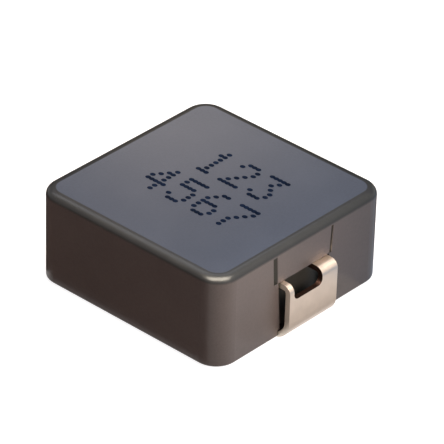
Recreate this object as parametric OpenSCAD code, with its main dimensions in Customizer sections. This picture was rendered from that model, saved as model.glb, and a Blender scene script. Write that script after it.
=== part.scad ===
// Moulded power inductor for surface mounting.
// A flat copper wire is wound in two decks, its tails are welded to two lead-frame terminals, and iron
// powder is pressed round the whole into one square block. The terminals are then bent down the sides and
// under the block. +Z is up, X runs through both terminals, and the origin is on the board under the centre.

/* [Body] */
// Width of the block along X, between the terminal sides
body_w = 10; // [9.6:0.1:11]
// Depth of the block along Y
body_d = 10; // [9.4:0.1:11]
// Height of the block
body_h = 4.2; // [4.0:0.05:5]
// Radius of the four upright corners
corner_r = 1; // [0.5:0.05:1.4]
// Fillet round the top face
top_fillet = 0.32; // [0.1:0.02:0.4]
// Fillet round the bottom face
bottom_fillet = 0.12; // [0.05:0.01:0.2]
// Height of the block's underside above the board
standoff = 0.05; // [0.02:0.01:0.1]

/* [Key panel] */
// Width of the panel above a terminal, at the top face
panel_top_w = 3.2; // [3.1:0.05:3.8]
// Width of the panel above a terminal, at the terminal
panel_bottom_w = 3.05; // [3.0:0.05:3.3]
// Width of the groove on the panel's near side (-Y)
near_groove_w = 0.26; // [0.1:0.02:0.4]
// Width of the groove on the panel's far side (+Y)
far_groove_w = 0.14; // [0.06:0.02:0.3]
// Depth of both grooves, which are V-shaped
groove_depth = 0.12; // [0.05:0.01:0.16]

/* [Leg pocket] */
// Depth of the pocket that the die's key leaves under the panel, behind the upright leg
pocket_depth = 0.3; // [0.2:0.05:0.4]
// Width of the pocket at the underside of the block. At its top it is as wide as the panel.
pocket_bottom_w = 2.6; // [2.4:0.05:2.9]
// Gap between the top of the strip and the panel over it
lead_clearance = 0.03; // [0.02:0.01:0.1]

/* [Terminal] */
// Thickness of the lead frame
strip_t = 0.24; // [0.15:0.01:0.25]
// Width of the terminal strip
strip_w = 2.84; // [2.6:0.02:3]
// Height of the strip's underside where it leaves the block
lead_z = 2.38; // [2.1:0.02:2.6]
// Gap between the block's side and the upright leg
leg_gap = 0.32; // [0.3:0.01:0.5]
// Inside radius of the top bend
top_bend_r = 0.12; // [0.1:0.01:0.3]
// Inside radius of the bottom bend
bottom_bend_r = 0.62; // [0.5:0.02:0.9]
// Length of the solder pad under the block, from the block's side
pad_len = 1.8; // [1.4:0.1:2.2]
// Corner radius at the pad's inner end
pad_corner_r = 0.3; // [0.1:0.05:0.5]
// Clearance round and above the pad and its bend, where they lie in the block's underside
pad_clearance = 0.05; // [0.02:0.01:0.08]

/* [Notch in the top bend] */
// Width of the notch
notch_w = 1.68; // [1.2:0.02:1.8]
// Width of the narrow leg that is left beside the notch
narrow_leg_w = 0.25; // [0.2:0.01:0.6]
// Depth of the notch below the strip's top face
notch_drop = 0.69; // [0.5:0.01:0.9]
// Corner radius at the notch's foot
notch_r = 0.25; // [0.1:0.05:0.5]
// How far the notch runs in past the block's side
notch_inset = 0.35; // [0.1:0.05:0.5]

/* [Weld ear] */
// Width of the ear that the wire's tail is welded to
ear_w = 1; // [0.8:0.05:1.2]
// Distance of the ear's near edge from the centre plane
ear_y = 0.35; // [0.3:0.05:0.45]
// Inside radius of the ear's bend
ear_bend_r = 0.1; // [0.05:0.01:0.15]

/* [Coil] */
// Thickness of the flat wire
wire_t = 0.25; // [0.2:0.01:0.26]
// Width of the flat wire, along Z
wire_w = 0.94; // [0.8:0.02:1]
// Distance from one turn to the next
wire_pitch = 0.28; // [0.27:0.005:0.29]
// Gap between the two decks
deck_gap = 0.05; // [0.02:0.01:0.08]
// Radius of the wire's centre line at the crossover between the decks
inner_r = 2; // [1.8:0.05:2.1]
// Turns in each deck
turns = 6; // [4:1:6]
// Length of each tail, from the last turn
tail_len = 1.45; // [1.4:0.05:1.8]
// Clearance between the winding and the powder round it
coil_clearance = 0.02; // [0.01:0.01:0.04]

/* [Hidden] */
$fn = 96;

// Levels
body_top = standoff + body_h;
lead_top = lead_z + strip_t;
panel_z = lead_top + lead_clearance;
coil_mid = standoff + body_h / 2;
deck_offset = (wire_w + deck_gap) / 2;

// Terminal, seen along Y
face_x = body_w / 2;
leg_x = face_x + leg_gap;
coil_outer_r = inner_r + turns * wire_pitch + wire_t / 2;
ear_outer_x = coil_outer_r + strip_t;
pad_end_x = face_x - pad_len;
notch_y = -strip_w / 2 + narrow_leg_w;

// Reach of cutters past the face they cut
past = 1;

// A square corner block with a quarter ring in it: a bend of inside radius r in a strip of thickness t,
// about the origin, in the first quadrant.
module bend_2d(r, t) {
    intersection() {
        difference() {
            circle(r + t);
            circle(r);
        }
        square(r + t);
    }
}

// Section of the block from its axis to one side: half is the distance, with both fillets
module half_section(half) {
    union() {
        translate([0, standoff]) square([half - top_fillet, body_h]);
        translate([0, standoff]) square([half - bottom_fillet, body_h - top_fillet]);
        translate([0, standoff + bottom_fillet]) square([half, body_h - top_fillet - bottom_fillet]);
        translate([half - top_fillet, body_top - top_fillet]) circle(top_fillet);
        translate([half - bottom_fillet, standoff + bottom_fillet]) circle(bottom_fillet);
    }
}

// A bar of that section, both sides, with its length along Y
module section_bar(half, len) {
    rotate([90, 0, 0]) linear_extrude(len, center = true) union() {
        half_section(half);
        mirror([1, 0]) half_section(half);
    }
}

// The pressed block before anything is taken out of it
module block() {
    post_x = body_w / 2 - corner_r;
    post_y = body_d / 2 - corner_r;
    section_bar(body_w / 2, 2 * post_y);
    rotate([0, 0, 90]) section_bar(body_d / 2, 2 * post_x);
    for (corner = [[1, 1, 0], [-1, 1, 90], [-1, -1, 180], [1, -1, 270]])
        translate([corner[0] * post_x, corner[1] * post_y, 0])
            rotate([0, 0, corner[2]])
                rotate_extrude(angle = 90) half_section(corner_r);
}

// Grooves that the die's key leaves on both sides of the panel above a terminal, on the +X side
module panel_grooves() {
    rise = body_top - top_fillet - panel_z;
    lean = atan((panel_top_w - panel_bottom_w) / 2 / rise);
    for (edge = [[1, near_groove_w], [0, far_groove_w]])
        mirror([0, edge[0], 0]) translate([face_x, panel_bottom_w / 2, panel_z]) rotate([-lean, 0, 0])
            linear_extrude(rise / cos(lean))
                polygon([[past, 0], [0, 0], [-groove_depth, edge[1] / 2], [0, edge[1]], [past, edge[1]]]);
}

// Pocket in the block's side behind the upright leg, under the panel, on the +X side
module leg_pocket() {
    translate([face_x - pocket_depth, 0, 0]) rotate([90, 0, 90]) linear_extrude(pocket_depth + past)
        polygon([
            [-pocket_bottom_w / 2, standoff],
            [pocket_bottom_w / 2, standoff],
            [panel_bottom_w / 2, panel_z],
            [-panel_bottom_w / 2, panel_z]
        ]);
}

// Terminal seen along Y, from the tab inside the block to the solder pad, for the +X side
module terminal_section() {
    top_bend_x = leg_x - top_bend_r;
    bottom_bend_x = leg_x - bottom_bend_r;
    bottom_bend_z = strip_t + bottom_bend_r;
    union() {
        translate([ear_outer_x, lead_z]) square([top_bend_x - ear_outer_x, strip_t]);
        translate([top_bend_x, lead_z - top_bend_r]) bend_2d(top_bend_r, strip_t);
        translate([leg_x, bottom_bend_z]) square([strip_t, lead_z - top_bend_r - bottom_bend_z]);
        translate([bottom_bend_x, bottom_bend_z]) mirror([0, 1]) bend_2d(bottom_bend_r, strip_t);
        translate([pad_end_x, 0]) square([bottom_bend_x - pad_end_x, strip_t]);
    }
}

// U-shaped notch through the top bend, open into the block
module notch() {
    foot_z = lead_top - notch_drop;
    translate([face_x - notch_inset, notch_y, 0]) rotate([90, 0, 90])
        linear_extrude(notch_inset + leg_gap + strip_t + past) union() {
            translate([0, foot_z + notch_r]) square([notch_w, notch_drop + past]);
            translate([notch_r, foot_z]) square([notch_w - 2 * notch_r, notch_drop + past]);
            for (y = [notch_r, notch_w - notch_r])
                translate([y, foot_z + notch_r]) circle(notch_r);
        }
}

// What is trimmed off to round the pad's two inner corners
module pad_corner_trim() {
    for (side = [0, 1])
        mirror([0, side, 0]) translate([pad_end_x, -strip_w / 2, -past])
            linear_extrude(past + strip_t + pad_clearance) difference() {
                translate([-past, -past]) square(pad_corner_r + past);
                translate([pad_corner_r, pad_corner_r]) circle(pad_corner_r);
            }
}

// Weld ear, folded up or down from the tab's inner end, flat against the wire's tail
module weld_ear(up) {
    fold_z = up ? lead_top + ear_bend_r : lead_z - ear_bend_r;
    plate_end = coil_mid + (up ? 1 : -1) * (deck_offset + wire_w / 2);
    translate([0, ear_y + ear_w, 0]) rotate([90, 0, 0]) linear_extrude(ear_w) union() {
        translate([ear_outer_x + ear_bend_r, fold_z])
            mirror([1, 0]) mirror([0, up ? 1 : 0]) bend_2d(ear_bend_r, strip_t);
        translate([coil_outer_r, min(fold_z, plate_end)]) square([strip_t, abs(plate_end - fold_z)]);
    }
}

// One terminal on the +X side
module terminal(up) {
    difference() {
        rotate([90, 0, 0]) linear_extrude(strip_w, center = true) terminal_section();
        notch();
        pad_corner_trim();
    }
    weld_ear(up);
}

// Recess in the block's underside that takes a pad and the start of its bend, on the +X side
module pad_recess() {
    recess_w = strip_w + 2 * pad_clearance;
    translate([pad_end_x - pad_clearance, -recess_w / 2, -past])
        cube([pad_len + pad_clearance + past, recess_w, past + strip_t + pad_clearance]);
    translate([leg_x - bottom_bend_r, 0, strip_t + bottom_bend_r])
        rotate([90, 0, 0]) linear_extrude(recess_w, center = true)
            mirror([0, 1]) bend_2d(bottom_bend_r - pad_clearance, strip_t + 2 * pad_clearance);
}

// Half a ring round Z, from radius a to radius b and from height z0 to z1, on the +Y side
module half_ring(a, b, z0, z1) {
    rotate_extrude(angle = 180) translate([a, z0]) square([b - a, z1 - z0]);
}

// Upper deck of the winding: half turns on the -Y side run round the axis, those on the +Y side round a
// point half a pitch aside, so that each turn ends one pitch further out. The tail leaves along +Y.
module deck() {
    z0 = deck_offset - wire_w / 2;
    z1 = deck_offset + wire_w / 2;
    for (k = [0 : turns - 1])
        translate([-wire_pitch / 2, 0, 0])
            half_ring(
                inner_r + (k + 0.5) * wire_pitch - wire_t / 2,
                inner_r + (k + 0.5) * wire_pitch + wire_t / 2, z0, z1);
    for (k = [1 : turns])
        rotate([0, 0, 180])
            half_ring(
                inner_r + k * wire_pitch - wire_t / 2,
                inner_r + k * wire_pitch + wire_t / 2, z0, z1);
    translate([coil_outer_r - wire_t, 0, z0]) cube([wire_t, tail_len, wire_w]);
}

// Half a turn on the -Y side that slopes from the upper deck down to the lower one
module crossover(clearance) {
    reach = inner_r + wire_t;
    rise = reach * deck_offset / inner_r;
    half_w = wire_w / 2 + clearance;
    intersection() {
        rotate([0, 0, 180])
            half_ring(
                inner_r - wire_t / 2 - clearance,
                inner_r + wire_t / 2 + clearance, -body_h / 2, body_h / 2);
        rotate([90, 0, 0]) linear_extrude(reach)
            polygon([
                [-reach, -rise - half_w],
                [reach, rise - half_w],
                [reach, rise + half_w],
                [-reach, -rise + half_w]
            ]);
    }
}

// Room in the powder for the winding and its tails
module winding_room() {
    c = coil_clearance;
    top = deck_offset + wire_w / 2 + c;
    for (lower = [0, 1])
        mirror([0, 0, lower]) mirror([lower, 0, 0]) {
            translate([-wire_pitch / 2, 0, 0])
                half_ring(
                    inner_r + wire_pitch / 2 - wire_t / 2 - c,
                    inner_r + (turns - 0.5) * wire_pitch + wire_t / 2 + c, 0, top);
            rotate([0, 0, 180])
                half_ring(inner_r + wire_pitch - wire_t / 2 - c, coil_outer_r + c, 0, top);
            translate([coil_outer_r - wire_t - c, 0, deck_offset - wire_w / 2 - c])
                cube([wire_t + 2 * c, tail_len + c, wire_w + 2 * c]);
        }
    crossover(c);
}

module moulded_body() {
    color([0.34, 0.34, 0.36]) difference() {
        block();
        terminal(up = true);
        mirror([1, 0, 0]) terminal(up = false);
        for (side = [0, 1])
            mirror([side, 0, 0]) {
                pad_recess();
                leg_pocket();
                panel_grooves();
            }
        translate([0, 0, coil_mid]) winding_room();
    }
}

module terminal_left() {
    color([0.8, 0.76, 0.7]) mirror([1, 0, 0]) terminal(up = false);
}

module terminal_right() {
    color([0.82, 0.78, 0.72]) terminal(up = true);
}

module coil() {
    color([0.72, 0.4, 0.2]) translate([0, 0, coil_mid]) {
        deck();
        mirror([0, 0, 1]) mirror([1, 0, 0]) deck();
        crossover(0);
    }
}

moulded_body();
terminal_left();
terminal_right();
coil();
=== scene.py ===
"""Moulded power inductor: the finish of its block, terminals and coil, its printed mark and a studio."""

import math

import bmesh
import bpy
from mathutils import Matrix, Vector


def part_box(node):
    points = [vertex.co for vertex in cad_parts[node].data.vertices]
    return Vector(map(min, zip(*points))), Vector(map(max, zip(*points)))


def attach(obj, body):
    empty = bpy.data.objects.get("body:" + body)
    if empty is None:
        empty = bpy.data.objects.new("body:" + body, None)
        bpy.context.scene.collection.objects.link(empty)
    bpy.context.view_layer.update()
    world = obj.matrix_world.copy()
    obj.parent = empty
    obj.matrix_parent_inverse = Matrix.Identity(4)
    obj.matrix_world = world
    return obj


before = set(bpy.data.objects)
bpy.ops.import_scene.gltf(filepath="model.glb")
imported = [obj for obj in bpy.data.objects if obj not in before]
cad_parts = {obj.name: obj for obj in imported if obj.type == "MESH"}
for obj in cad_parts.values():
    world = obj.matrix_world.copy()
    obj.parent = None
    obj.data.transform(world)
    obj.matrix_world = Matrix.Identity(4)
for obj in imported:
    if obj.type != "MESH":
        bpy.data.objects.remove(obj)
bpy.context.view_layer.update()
mm = 0.001


# ---- Moulded body ----
# Iron powder and resin, pressed round the coil and sealed with a thin coat. Its colour is painted with
# light and shade: the top face a cooler tone and the sides a warmer one, as the light falls on them, and
# the rim darker as shade. The top's -X and +Y edges and the hollows behind the strips are painted darker
# still, as shade, and the sides keep faint upright marks from the die.
# The top is painted cooler and the sides warmer, as lit and shaded copies of one coat colour
cool_top_light_colour = (0.062, 0.072, 0.101)
warm_side_light_colour = (0.104, 0.085, 0.080)
# The rim band round the top, painted darker as shade
rim_shade_colour = (0.034, 0.033, 0.032)
# The -X and +Y top edges, painted near black as shade
back_rim_shade_colour = (0.014, 0.014, 0.014)
# The hollows behind the strips, painted dark as the shade in them
hollow_shade_colour = (0.034, 0.031, 0.026)
coat_roughness = 0.30
coat_gloss = 0.25
cloud_size = 2.6 * mm
polish_size = 1.2 * mm
grain_size = 0.09 * mm
grain_depth = 0.003 * mm
die_mark_width = 0.5 * mm
die_mark_depth = 0.002 * mm
corner_radius = 1 * mm
rim_height = 0.32 * mm
back_rim_shade_height = 0.09 * mm
top_tint_margin = 0.41 * mm
top_tint_depth = 0.055 * mm
hollow_top = 4.01 * mm
hollow_half_width = 1.76 * mm
hollow_depth = 0.32 * mm
skin_depth = 0.02 * mm


def new_material(name):
    """A node material that holds one Principled shader, and its node tree and shader."""
    material = bpy.data.materials.new(name)
    material.use_nodes = True
    tree = material.node_tree
    return material, tree, tree.nodes["Principled BSDF"]


def add_node(tree, kind, **inputs):
    """A node of this kind, with the given values on the inputs of those names."""
    made = tree.nodes.new(kind)
    for name, value in inputs.items():
        made.inputs[name.replace("_", " ")].default_value = value
    return made


def noise(tree, size, detail=2.0, stretch=(1, 1, 1)):
    """The factor of a noise whose features have that size on the piece itself."""
    coords = add_node(tree, "ShaderNodeTexCoord")
    mapping = add_node(tree, "ShaderNodeMapping", Scale=stretch)
    grain = add_node(tree, "ShaderNodeTexNoise", Scale=1 / size, Detail=detail)
    tree.links.new(coords.outputs["Object"], mapping.inputs["Vector"])
    tree.links.new(mapping.outputs["Vector"], grain.inputs["Vector"])
    return grain.outputs["Fac"]


def spread(tree, value, low, high, to_low, to_high):
    """The value, mapped from low..high to to_low..to_high and held there."""
    ramp = add_node(
        tree, "ShaderNodeMapRange", From_Min=low, From_Max=high, To_Min=to_low, To_Max=to_high
    )
    tree.links.new(value, ramp.inputs["Value"])
    return ramp.outputs["Result"]


def over(tree, value, edge, blur):
    """A mask that is 1 where the value is over the edge, and fades out across a blur to both sides."""
    return spread(tree, value, edge - blur, edge + blur, 0, 1)


def under(tree, value, edge, blur):
    """A mask that is 1 where the value is under the edge, and fades out across a blur to both sides."""
    return spread(tree, value, edge - blur, edge + blur, 1, 0)


def blend(tree, factor, first, second, way="MIX"):
    """Two colours mixed by a factor. Each of the three is a plain value or another node's output."""
    mix = tree.nodes.new("ShaderNodeMix")
    mix.data_type = "RGBA"
    mix.blend_type = way
    for socket, value in ((mix.inputs[0], factor), (mix.inputs[6], first), (mix.inputs[7], second)):
        if isinstance(value, bpy.types.NodeSocket):
            tree.links.new(value, socket)
        elif isinstance(value, tuple):
            socket.default_value = (*value, 1)
        else:
            socket.default_value = value
    return mix.outputs[2]


def times(tree, first, *others):
    """Masks or colours multiplied together."""
    for other in others:
        first = blend(tree, 1.0, first, other, "MULTIPLY")
    return first


def size_of(tree, value):
    """The value without its sign."""
    plain = add_node(tree, "ShaderNodeMath")
    plain.operation = "ABSOLUTE"
    tree.links.new(value, plain.inputs[0])
    return plain.outputs[0]


def axes_of(tree, vector):
    """The X, Y and Z of a vector."""
    parts = add_node(tree, "ShaderNodeSeparateXYZ")
    tree.links.new(vector, parts.inputs["Vector"])
    return parts.outputs


def vector_math(tree, operation, vector, other=(0, 0, 0)):
    """A vector worked on, alone or with three plain numbers."""
    step = add_node(tree, "ShaderNodeVectorMath")
    step.operation = operation
    tree.links.new(vector, step.inputs[0])
    step.inputs[1].default_value = other
    return step.outputs["Value" if operation in ("LENGTH", "DOT_PRODUCT") else "Vector"]


def bump(tree, shader, height, depth, strength=1.0):
    """Lets a height stand up by a depth in metres, on top of any bump that the shader already has."""
    relief = add_node(tree, "ShaderNodeBump", Strength=strength, Distance=depth)
    tree.links.new(height, relief.inputs["Height"])
    if shader.inputs["Normal"].is_linked:
        tree.links.new(shader.inputs["Normal"].links[0].from_socket, relief.inputs["Normal"])
    tree.links.new(relief.outputs["Normal"], shader.inputs["Normal"])


def dress(node_name, material):
    """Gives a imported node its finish."""
    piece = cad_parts[node_name]
    for slot in piece.material_slots:
        slot.link = "OBJECT"
        slot.material = material


body_finish, tree, coat = new_material("pressed_powder")
top_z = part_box("moulded_body")[1].z
side_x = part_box("moulded_body")[1].x
position = add_node(tree, "ShaderNodeTexCoord").outputs["Object"]
spot = axes_of(tree, position)
core = side_x - corner_radius
past_core = vector_math(tree, "SUBTRACT", vector_math(tree, "ABSOLUTE", position), (core, core, 0))
past_core = vector_math(tree, "MULTIPLY", vector_math(tree, "MAXIMUM", past_core, (0, 0, 0)), (1, 1, 0))
from_core = vector_math(tree, "LENGTH", past_core)
toward_front = vector_math(tree, "DOT_PRODUCT", position, (1, -1, 0))
# The rim band, where the darker painted shade goes
on_rim = over(tree, spot["Z"], top_z - 0.85 * rim_height, 0.15 * rim_height)
# The -X and +Y top edges, which get the near-black painted shade
on_shaded_back_rim = times(
    tree,
    over(tree, spot["Z"], top_z - back_rim_shade_height, 0.4 * back_rim_shade_height),
    under(tree, toward_front, 0, 1 * mm),
)
# The flat top face, which takes the cooler painted light
on_top = times(
    tree,
    under(tree, from_core, corner_radius - top_tint_margin, 0.02 * mm),
    over(tree, spot["Z"], top_z - top_tint_depth, 0.005 * mm),
)
reach = size_of(tree, spot["X"])
# The hollows behind the strips, which get the dark painted shade
in_hollow = times(
    tree,
    under(tree, reach, side_x - skin_depth, 0.01 * mm),
    over(tree, reach, side_x - hollow_depth, 0.01 * mm),
    under(tree, spot["Z"], hollow_top, 0.01 * mm),
    under(tree, size_of(tree, spot["Y"]), hollow_half_width, 0.01 * mm),
)
# The coat's colour, with the painted light and shade of top, sides, rim, back edges and hollows laid over
# it
coat_and_shade_colour = blend(tree, on_rim, warm_side_light_colour, rim_shade_colour)
coat_and_shade_colour = blend(tree, on_shaded_back_rim, coat_and_shade_colour, back_rim_shade_colour)
coat_and_shade_colour = blend(tree, on_top, coat_and_shade_colour, cool_top_light_colour)
coat_and_shade_colour = blend(tree, in_hollow, coat_and_shade_colour, hollow_shade_colour)
clouds = spread(tree, noise(tree, cloud_size), 0.3, 0.7, 0.96, 1.04)
grain = noise(tree, grain_size, detail=3)
coat_and_shade_colour = times(tree, coat_and_shade_colour, clouds, spread(tree, grain, 0.3, 0.7, 0.95, 1.05))
tree.links.new(coat_and_shade_colour, coat.inputs["Base Color"])
polish = spread(tree, noise(tree, polish_size), 0.3, 0.7, coat_roughness - 0.02, coat_roughness + 0.03)
tree.links.new(polish, coat.inputs["Roughness"])
coat.inputs["Specular IOR Level"].default_value = coat_gloss
bump(tree, coat, grain, grain_depth, 0.5)
bump(tree, coat, noise(tree, die_mark_width, stretch=(1, 1, 0.03)), die_mark_depth, 0.4)
dress("moulded_body", body_finish)


# ---- Terminals ----
# Copper strip, punched from a lead frame, plated with matte tin and bent down the block's sides and
# under it. The rolling leaves fine streaks along it. The faces toward the block and the inside of the
# lower bend are painted dark, as shade. The notch is punched after the plating, so its edges are bare
# copper, painted much darker as shade.
tin_colour = (0.66, 0.54, 0.455)
outer_edge_colour = (0.64, 0.56, 0.48)
# The tin faces toward the block, painted dark as shade
inner_face_shade_colour = (0.05, 0.04, 0.035)
# Bare copper of the notch edges, painted much darker as shade
shaded_bare_copper_colour = (0.06, 0.032, 0.026)
tin_roughness = 0.34
streak_width = 0.035 * mm
streak_depth = 0.001 * mm
mottle_size = 0.5 * mm
mottle_depth = 0.004 * mm
notch_floor_low = 1.8 * mm
notch_floor_high = 2.3 * mm
bend_height = 0.65 * mm

terminal_finish, tree, tin = new_material("tinned_lead")
tin.inputs["Metallic"].default_value = 1
streaks = noise(tree, streak_width, stretch=(0.03, 1, 0.03))
mottle = noise(tree, mottle_size)
tin_shade = times(tree, tin_colour, spread(tree, mottle, 0.3, 0.7, 0.95, 1.03))
strip_half_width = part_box("terminal_right")[1].y
facing = axes_of(tree, add_node(tree, "ShaderNodeNewGeometry").outputs["Normal"])
spot = axes_of(tree, add_node(tree, "ShaderNodeTexCoord").outputs["Object"])
on_outer = over(tree, size_of(tree, spot["Y"]), 0.97 * strip_half_width, 0.02 * strip_half_width)
on_edge = over(tree, size_of(tree, facing["Y"]), 0.55, 0.15)
facing_up = over(tree, facing["Z"], 0.35, 0.15)
# The notch floor, bare copper painted dark as shade
on_notch_floor = times(
    tree,
    facing_up,
    under(tree, spot["Z"], notch_floor_high, 0.05 * mm),
    over(tree, spot["Z"], notch_floor_low, 0.05 * mm),
)
# The faces toward the block and the upward faces low in the bend get the dark painted shade
shaded_toward_block = under(tree, times(tree, facing["X"], spot["X"]), -1.5 * mm, 0.5 * mm)
in_shaded_bend = times(tree, facing_up, under(tree, spot["Z"], bend_height, 0.05 * mm))
edge_colour = blend(tree, on_outer, shaded_bare_copper_colour, outer_edge_colour)
finish = blend(tree, on_edge, tin_shade, edge_colour)
finish = blend(tree, on_notch_floor, finish, shaded_bare_copper_colour)
finish = blend(tree, shaded_toward_block, finish, inner_face_shade_colour)
finish = blend(tree, in_shaded_bend, finish, inner_face_shade_colour)
tree.links.new(finish, tin.inputs["Base Color"])
brushing = spread(tree, streaks, 0.3, 0.7, tin_roughness - 0.04, tin_roughness + 0.06)
tree.links.new(brushing, tin.inputs["Roughness"])
bump(tree, tin, streaks, streak_depth, 0.4)
bump(tree, tin, mottle, mottle_depth, 0.3)
for side in ("terminal_left", "terminal_right"):
    dress(side, terminal_finish)


# ---- Coil ----
# Flat copper wire under a clear amber enamel, wound in two decks inside the block. The block hides it,
# so it shows only where the block is taken away.
enamel_amber = (0.60, 0.25, 0.09)
wire_roughness = 0.3
enamel_weight = 0.6
enamel_roughness = 0.12
wire_patch_size = 0.8 * mm
wire_grain_size = 0.1 * mm
wire_grain_depth = 0.002 * mm

coil_finish, tree, enamel = new_material("enamelled_wire")
enamel.inputs["Metallic"].default_value = 1
enamel.inputs["Roughness"].default_value = wire_roughness
enamel.inputs["Coat Weight"].default_value = enamel_weight
enamel.inputs["Coat Roughness"].default_value = enamel_roughness
wire_tone = spread(tree, noise(tree, wire_patch_size, stretch=(1, 1, 4)), 0.3, 0.7, 0.88, 1.06)
tree.links.new(times(tree, enamel_amber, wire_tone), enamel.inputs["Base Color"])
bump(tree, enamel, noise(tree, wire_grain_size, stretch=(1, 1, 6)), wire_grain_depth, 0.3)
dress("coil", coil_finish)


# ---- Printed mark ----
# Navy ink dots, sprayed on the top face in two rows of plain figures, five dots wide and seven high.
# Each dot is a thin domed drop that dries flat, so it stands only a few microns above the coat.
ink_colour = (0.004, 0.009, 0.024)
ink_roughness = 0.55
ink_gloss = 0.01
ink_patch_size = 0.6 * mm
ink_height = 0.006 * mm
dot_radius = 0.107 * mm
dot_slope_width = 0.048 * mm
dot_stretch = 1.2
dot_step = Vector((0.205 * mm, 0.272 * mm))
figure_step = 1.38 * mm
upper_row = ("123", Vector((-1.51 * mm, 0.62 * mm)))
lower_row = ("4567", Vector((-2.31 * mm, -1.82 * mm)))
# Each figure's rows of dots, from the top down
figures = {
    "1": ("..#..", ".##..", "..#..", "..#..", "..#..", "..#..", ".###."),
    "2": (".###.", "#...#", "....#", "...#.", "..#..", ".#...", "#####"),
    "3": ("#####", "...#.", "..#..", "...#.", "....#", "#...#", ".###."),
    "4": ("...#.", "..##.", ".#.#.", "#..#.", "#####", "...#.", "...#."),
    "5": ("#####", "#....", "####.", "....#", "....#", "#...#", ".###."),
    "6": ("..##.", ".#...", "#....", "####.", "#...#", "#...#", ".###."),
    "7": ("#####", "....#", "...#.", "..#..", ".#...", ".#...", ".#..."),
}

print_mesh = bmesh.new()
for text, start in (upper_row, lower_row):
    for order, figure in enumerate(text):
        for line, dots in enumerate(reversed(figures[figure])):
            for column, dot in enumerate(dots):
                if dot == "#":
                    x = start.x + order * figure_step + column * dot_step.x
                    y = start.y + line * dot_step.y
                    made = bmesh.ops.create_circle(
                        print_mesh,
                        cap_ends=True,
                        segments=16,
                        radius=dot_radius,
                        matrix=Matrix.Translation((x, y, top_z)) @ Matrix.Scale(dot_stretch, 4, (1, 0, 0)),
                    )
                    drop = [face for face in print_mesh.faces if made["verts"][0] in face.verts]
                    bmesh.ops.inset_region(
                        print_mesh, faces=drop, thickness=dot_slope_width, depth=ink_height
                    )
ink_mesh = bpy.data.meshes.new("printed_mark")
print_mesh.to_mesh(ink_mesh)
print_mesh.free()
printed_mark = bpy.data.objects.new("printed_mark", ink_mesh)
bpy.context.scene.collection.objects.link(printed_mark)

ink_finish, tree, ink = new_material("navy_ink")
ink.inputs["Roughness"].default_value = ink_roughness
ink.inputs["Specular IOR Level"].default_value = ink_gloss
ink_tone = spread(tree, noise(tree, ink_patch_size), 0.3, 0.7, 0.7, 1.5)
tree.links.new(times(tree, ink_colour, ink_tone), ink.inputs["Base Color"])
ink_mesh.materials.append(ink_finish)
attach(printed_mark, "root")


# ---- Studio ----
# A white floor and background. The lamps light the top and the sides and show in no reflection, and
# cards that show only in reflections shape the highlights along the edges and on the strip. The camera
# has a long lens and is turned slightly about its own axis.
floor_size = 1.2
floor_colour = (0.45, 0.43, 0.42)
floor_roughness = 0.9
floor_glow = 0.9
white = 1.0
room_light = 0.12


def either_ray(tree, *kinds):
    """A factor that is 1 for rays of these kinds."""
    rays = tree.nodes.new("ShaderNodeLightPath")
    total = rays.outputs[kinds[0]]
    for kind in kinds[1:]:
        either = tree.nodes.new("ShaderNodeMath")
        either.operation = "MAXIMUM"
        tree.links.new(total, either.inputs[0])
        tree.links.new(rays.outputs[kind], either.inputs[1])
        total = either.outputs[0]
    return total


floor_mesh = bpy.data.meshes.new("floor")
sheet = bmesh.new()
bmesh.ops.create_grid(sheet, x_segments=1, y_segments=1, size=floor_size / 2)
sheet.to_mesh(floor_mesh)
sheet.free()
floor = bpy.data.objects.new("floor", floor_mesh)
bpy.context.scene.collection.objects.link(floor)
floor_finish, tree, floor_paint = new_material("white_floor")
floor_paint.inputs["Base Color"].default_value = (*floor_colour, 1)
floor_paint.inputs["Roughness"].default_value = floor_roughness
floor_paint.inputs["Specular IOR Level"].default_value = 0
glow = add_node(tree, "ShaderNodeEmission", Strength=floor_glow)
plain_white = add_node(tree, "ShaderNodeEmission", Strength=white)
lit = tree.nodes.new("ShaderNodeAddShader")
for_camera = tree.nodes.new("ShaderNodeMixShader")
for_mirrors = tree.nodes.new("ShaderNodeMixShader")
tree.links.new(glow.outputs[0], lit.inputs[0])
tree.links.new(floor_paint.outputs[0], lit.inputs[1])
tree.links.new(either_ray(tree, "Is Camera Ray"), for_camera.inputs[0])
tree.links.new(floor_paint.outputs[0], for_camera.inputs[1])
tree.links.new(lit.outputs[0], for_camera.inputs[2])
tree.links.new(either_ray(tree, "Is Glossy Ray", "Is Transmission Ray"), for_mirrors.inputs[0])
tree.links.new(for_camera.outputs[0], for_mirrors.inputs[1])
tree.links.new(plain_white.outputs[0], for_mirrors.inputs[2])
tree.links.new(for_mirrors.outputs[0], tree.nodes["Material Output"].inputs["Surface"])
floor_mesh.materials.append(floor_finish)

world = bpy.data.worlds.new("studio")
bpy.context.scene.world = world
world.use_nodes = True
tree = world.node_tree
room = tree.nodes["Background"]
room.inputs["Color"].default_value = (1, 1, 1, 1)
seen = either_ray(tree, "Is Camera Ray", "Is Glossy Ray", "Is Transmission Ray")
tree.links.new(spread(tree, seen, 0, 1, room_light, white), room.inputs["Strength"])


def area_lamp(name, place, aim, size, radiance, colour=(1, 1, 1)):
    """A square soft lamp, placed and aimed in millimetres, as bright as a surface of that radiance."""
    lamp = bpy.data.lights.new(name, "AREA")
    lamp.shape = "SQUARE"
    lamp.size = size * mm
    lamp.energy = radiance * math.pi * (size * mm) ** 2
    lamp.color = colour
    holder = bpy.data.objects.new(name, lamp)
    holder.location = Vector(place) * mm
    holder.rotation_euler = (Vector(aim) - Vector(place)).to_track_quat("-Z", "Y").to_euler()
    holder.visible_camera = holder.visible_glossy = False
    bpy.context.scene.collection.objects.link(holder)


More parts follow.
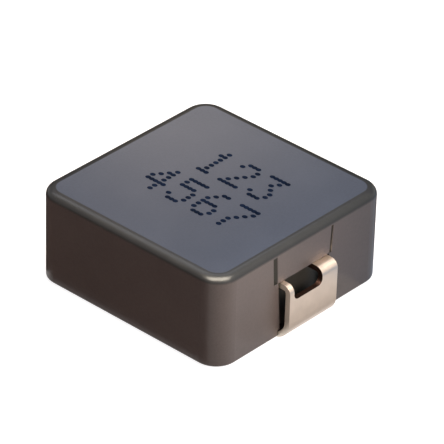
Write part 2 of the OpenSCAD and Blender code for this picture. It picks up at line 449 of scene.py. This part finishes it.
area_lamp("overhead_lamp", (6, 6, 90), (0, 0, 4), 60, 2.8)
area_lamp("back_lamp", (-5, 2.6, 12.5), (-4.5, 2.6, 4), 6, 12.5, (1.0, 0.72, 0.45))
area_lamp("side_lamp", (13, -3, 6), (5, -3, 3), 5, 10.5, (1.0, 0.88, 0.79))
area_lamp("far_side_lamp", (55, 60, 65), (5, 0, 2), 90, 2.3, (0.78, 0.95, 1.1))
area_lamp("rear_lamp", (-70, 80, 40), (0, 0, 2), 60, 3.0)
area_lamp("front_lamp", (-40, -110, 30), (0, 0, 2), 60, 1.6, (1.0, 0.6, 0.5))


def card(name, place, aim, width, height, colour):
    """A plain card that shows only in reflections. Its middle and aim are in millimetres."""
    card_mesh = bpy.data.meshes.new(name)
    sheet = bmesh.new()
    bmesh.ops.create_grid(sheet, x_segments=1, y_segments=1, size=0.5 * mm)
    bmesh.ops.scale(sheet, vec=(width, height, 1), verts=sheet.verts)
    facing = (Vector(aim) - Vector(place)).to_track_quat("Z", "Y").to_matrix()
    bmesh.ops.rotate(sheet, matrix=facing, verts=sheet.verts)
    bmesh.ops.translate(sheet, vec=Vector(place) * mm, verts=sheet.verts)
    sheet.to_mesh(card_mesh)
    sheet.free()
    made = bpy.data.objects.new(name, card_mesh)
    bpy.context.scene.collection.objects.link(made)
    paint, tree = new_material(name)[:2]
    shine = add_node(tree, "ShaderNodeEmission", Color=(*colour, 1), Strength=1.0)
    tree.links.new(shine.outputs[0], tree.nodes["Material Output"].inputs["Surface"])
    card_mesh.materials.append(paint)
    made.visible_camera = made.visible_diffuse = made.visible_shadow = False


def floor_card(name, low, high, colour):
    """A card that lies just over the floor between two corners, in millimetres."""
    x, y = (low[0] + high[0]) / 2, (low[1] + high[1]) / 2
    card(name, (x, y, card_lift), (x, y, 1), high[0] - low[0], high[1] - low[1], colour)


card_lift = 0.02
dark = (0.04, 0.04, 0.04)
floor_card("front_flag", (-120, -120), (4.5, -5.3), (0.10, 0.06, 0.05))
floor_card("left_flag", (-160, -5.3), (-5.05, 160), dark)
floor_card("back_flag", (-5.05, 5.05), (4.5, 160), dark)
floor_card("contact_card", (5.6, -2.5), (6.9, 3.2), (0.60, 0.585, 0.57))
floor_card("far_card", (4.5, 3.8), (160, 160), (0.42, 0.53, 0.68))
card("wall_flag", (-84, 86, 30), (0, 0, 30), 130, 60, dark)
card("top_flag", (-10.7, 11.9, 18.5), (0, 0, 18.5), 60, 11, (0.25, 0.3, 0.4))
card("sky_card", (-47, 23, 84), (0, 0, 4), 117, 50, (3.2, 3.3, 3.5))
card("overhead_card", (27.5, -26, 60), (0, 0, 4), 104, 54, (29.0, 26.5, 22.5))


view_azimuth = math.radians(41.756)
view_elevation = math.radians(33.667)
view_roll = math.radians(1.678)
view_distance = 153.5 * mm
lens_mm = 305.72
aim_right = 0.512 * mm
aim_up = 2.103 * mm

low_corner, high_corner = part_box("moulded_body")
middle = low_corner.lerp(high_corner, 0.5)
middle.z = low_corner.z
back = Vector((
    math.sin(view_azimuth) * math.cos(view_elevation),
    -math.cos(view_azimuth) * math.cos(view_elevation),
    math.sin(view_elevation),
))
camera_data = bpy.data.cameras.new("camera")
camera_data.lens = lens_mm
camera_data.clip_start = 10 * mm
camera_data.clip_end = 3
camera = bpy.data.objects.new("camera", camera_data)
turn = back.to_track_quat("Z", "Y") @ Matrix.Rotation(view_roll, 3, "Z").to_quaternion()
right, up = turn @ Vector((1, 0, 0)), turn @ Vector((0, 1, 0))
aim = middle + right * aim_right + up * aim_up
camera.location = middle + back * view_distance
camera.rotation_euler = (
    (camera.location - aim).to_track_quat("Z", "Y") @ Matrix.Rotation(view_roll, 3, "Z").to_quaternion()
).to_euler()
bpy.context.scene.collection.objects.link(camera)
bpy.context.scene.camera = camera
bpy.context.scene.view_settings.view_transform = "Standard"
